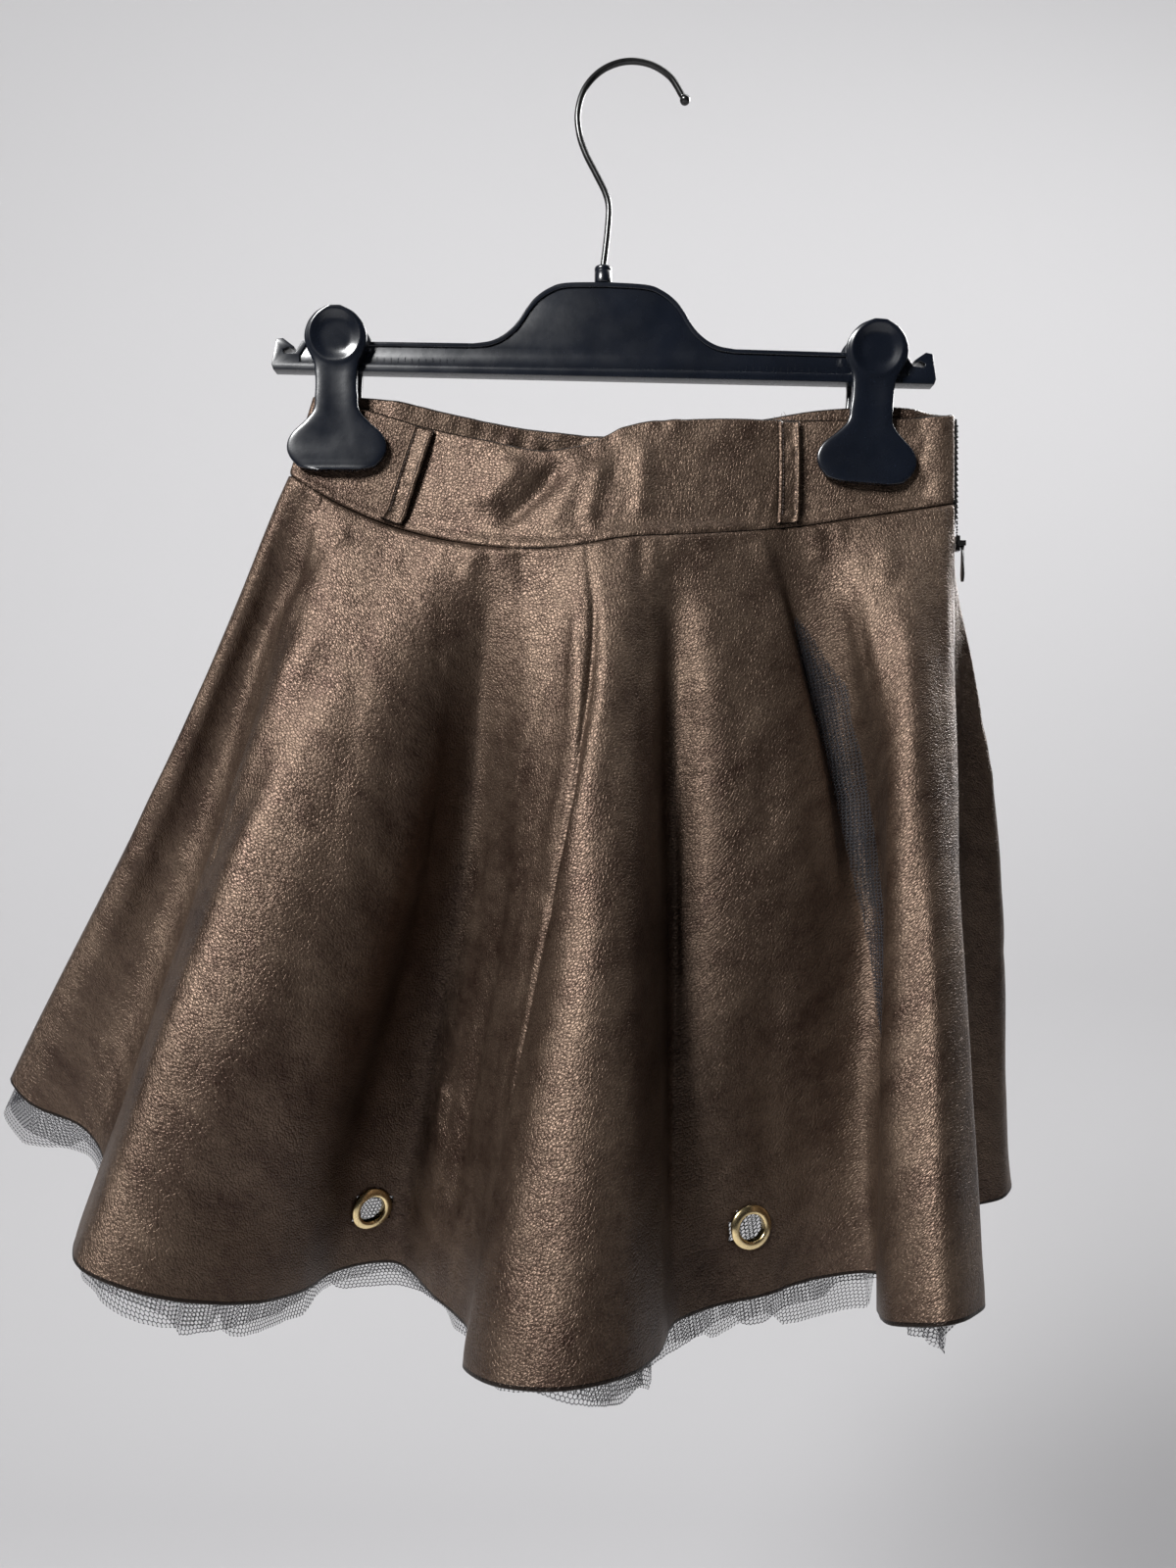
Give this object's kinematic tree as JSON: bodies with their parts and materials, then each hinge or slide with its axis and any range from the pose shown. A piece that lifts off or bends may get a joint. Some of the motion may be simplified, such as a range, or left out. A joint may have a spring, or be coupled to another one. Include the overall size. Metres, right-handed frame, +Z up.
{
  "type": "leather mini skirt on a clip hanger",
  "caption": "Flared leather mini skirt with a wide waistband, belt loops, hem eyelets, side zip and net petticoat, clipped flat to a plastic bar hanger with a wire hook.",
  "frame": {"origin": "inside top of the hook, the point that rests on a rail or peg", "axes": "+Z up along the hanging object, the front of the skirt faces -Y, +X is the viewer's right (the wearer's left hip, where the zip is)"},
  "size_m": [0.5239, 0.2296, 0.5833],
  "materials": {
    "leather": "satin bronze-brown with a fine pebbled grain",
    "net": "open black net",
    "zip_tape": "matt black",
    "zip_metal": "satin black",
    "brass": "polished",
    "hook_steel": "glossy black",
    "hanger_plastic": "glossy blue-black"
  },
  "bodies": {
    "garment": {"skirt_front": "leather", "skirt_back": "leather", "petticoat_front": "net", "petticoat_back": "net", "waistband_front": "leather", "waistband_back": "leather", "belt_loop_front_left": "leather", "belt_loop_front_right": "leather", "belt_loop_back_right": "leather", "belt_loop_back_left": "leather", "eyelet_left": "brass", "eyelet_right": "brass", "zip_tape": "zip_tape", "zip_slider": "zip_metal", "hook_wire": "hook_steel", "hook_socket": "hanger_plastic", "hanger_bar": "hanger_plastic", "clip_left_front": "hanger_plastic", "clip_left_back": "hanger_plastic", "clip_right_front": "hanger_plastic", "clip_right_back": "hanger_plastic", "clip_left_fulcrum": "hanger_plastic", "clip_right_fulcrum": "hanger_plastic"},
    "zip_pull": {"zip_pull": "zip_metal"}
  },
  "joints": [
    {"name": "zip_pull_hinge", "type": "hinge", "parent": "garment", "child": "zip_pull", "pos_m": [0.15238, 0.00052, -0.22078], "axis": [0, -1, 0], "range_deg": [0, 150]}
  ]
}
